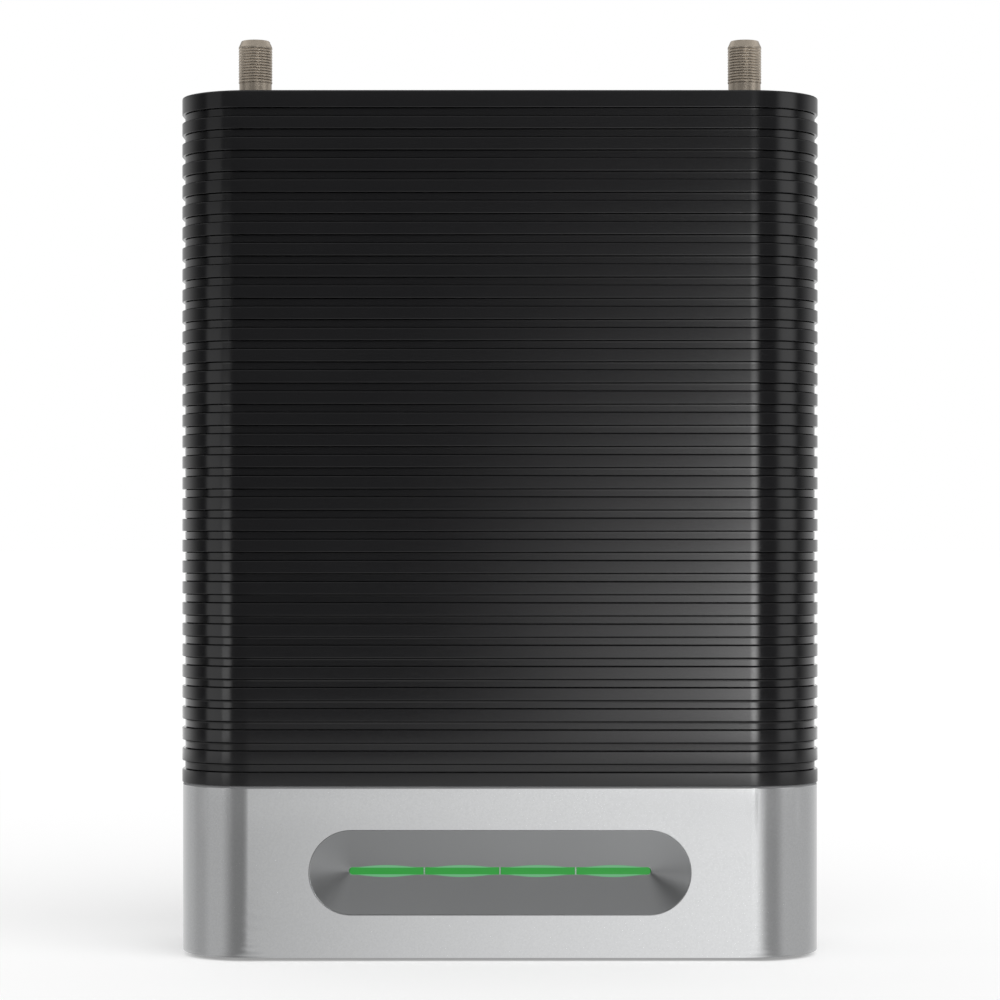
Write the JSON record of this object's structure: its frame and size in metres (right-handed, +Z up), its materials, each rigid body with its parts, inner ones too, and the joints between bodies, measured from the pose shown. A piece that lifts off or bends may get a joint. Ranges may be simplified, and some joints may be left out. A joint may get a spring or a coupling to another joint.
{
  "type": "cellular signal booster",
  "caption": "Upright cellular signal booster: black ribbed body on a silver base with a dished green light bar, and threaded coaxial ports on top.",
  "frame": {"origin": "under the middle of the body, on the plane that the feet stand on", "axes": "+X to the right seen from the front, -Y out of the front face, +Z up"},
  "size_m": [0.1776, 0.066, 0.2569],
  "materials": {
    "black_housing": "satin, very fine grain",
    "panel_plastic": "matte",
    "silver_base": "satin silver with fine speckle",
    "plate_plastic": "matte",
    "foot_rubber": "matte",
    "silver_bezel": "satin silver",
    "light_guide": "lit, diffuse",
    "circuit_board": "solder mask",
    "led_lens": "clear resin",
    "ribbon_jacket": "smooth",
    "socket_plastic": "smooth",
    "nickel_port": "nickel plated, warm grey",
    "white_insulator": "smooth",
    "gold_contact": "gold plated",
    "copper_lead": "bare",
    "nickel_hardware": "nickel plated",
    "jack_plastic": "smooth",
    "tinned_contact": "tin plated",
    "chip_resin": "matte",
    "duplexer_ceramic": "matte",
    "ferrite": "matte",
    "capacitor_can": "satin",
    "tinned_shield": "tin plated",
    "heat_sink_aluminium": "extruded",
    "thermal_pad": "soft",
    "black_screw": "black oxide",
    "steel_screw": "zinc plated"
  },
  "bodies": {
    "root": {"front_housing": "black_housing", "rear_housing": "black_housing", "port_panel": "panel_plastic", "base_shell": "silver_base", "base_plate": "plate_plastic", "foot_front_left": "foot_rubber", "foot_front_right": "foot_rubber", "foot_rear_left": "foot_rubber", "foot_rear_right": "foot_rubber", "light_bezel": "silver_bezel", "light_segment_1": "light_guide", "light_segment_2": "light_guide", "light_segment_3": "light_guide", "light_segment_4": "light_guide", "led_board": "circuit_board", "leds": "led_lens", "ribbon_cable": "ribbon_jacket", "ribbon_sockets": "socket_plastic", "outside_port_body": "nickel_port", "outside_port_insulator": "white_insulator", "outside_port_contact": "gold_contact", "outside_port_lead": "copper_lead", "inside_port_body": "nickel_port", "inside_port_insulator": "white_insulator", "inside_port_contact": "gold_contact", "inside_port_lead": "copper_lead", "port_washers": "nickel_hardware", "port_nuts": "nickel_hardware", "dc_jack_body": "jack_plastic", "dc_jack_pin": "tinned_contact", "dc_jack_spring": "tinned_contact", "main_board": "circuit_board", "controller_chip": "chip_resin", "duplexers": "duplexer_ceramic", "power_amplifiers": "chip_resin", "gain_chips": "chip_resin", "inductors": "ferrite", "capacitors": "capacitor_can", "uplink_shield_frame": "tinned_shield", "uplink_shield_lid": "tinned_shield", "downlink_shield_frame": "tinned_shield", "downlink_shield_lid": "tinned_shield", "heat_sink": "heat_sink_aluminium", "thermal_pads": "thermal_pad", "case_screws": "black_screw", "deck_screws": "steel_screw", "plate_screws": "black_screw", "board_screws": "steel_screw", "heat_sink_screws": "steel_screw", "led_board_screws": "steel_screw"}
  },
  "joints": []
}
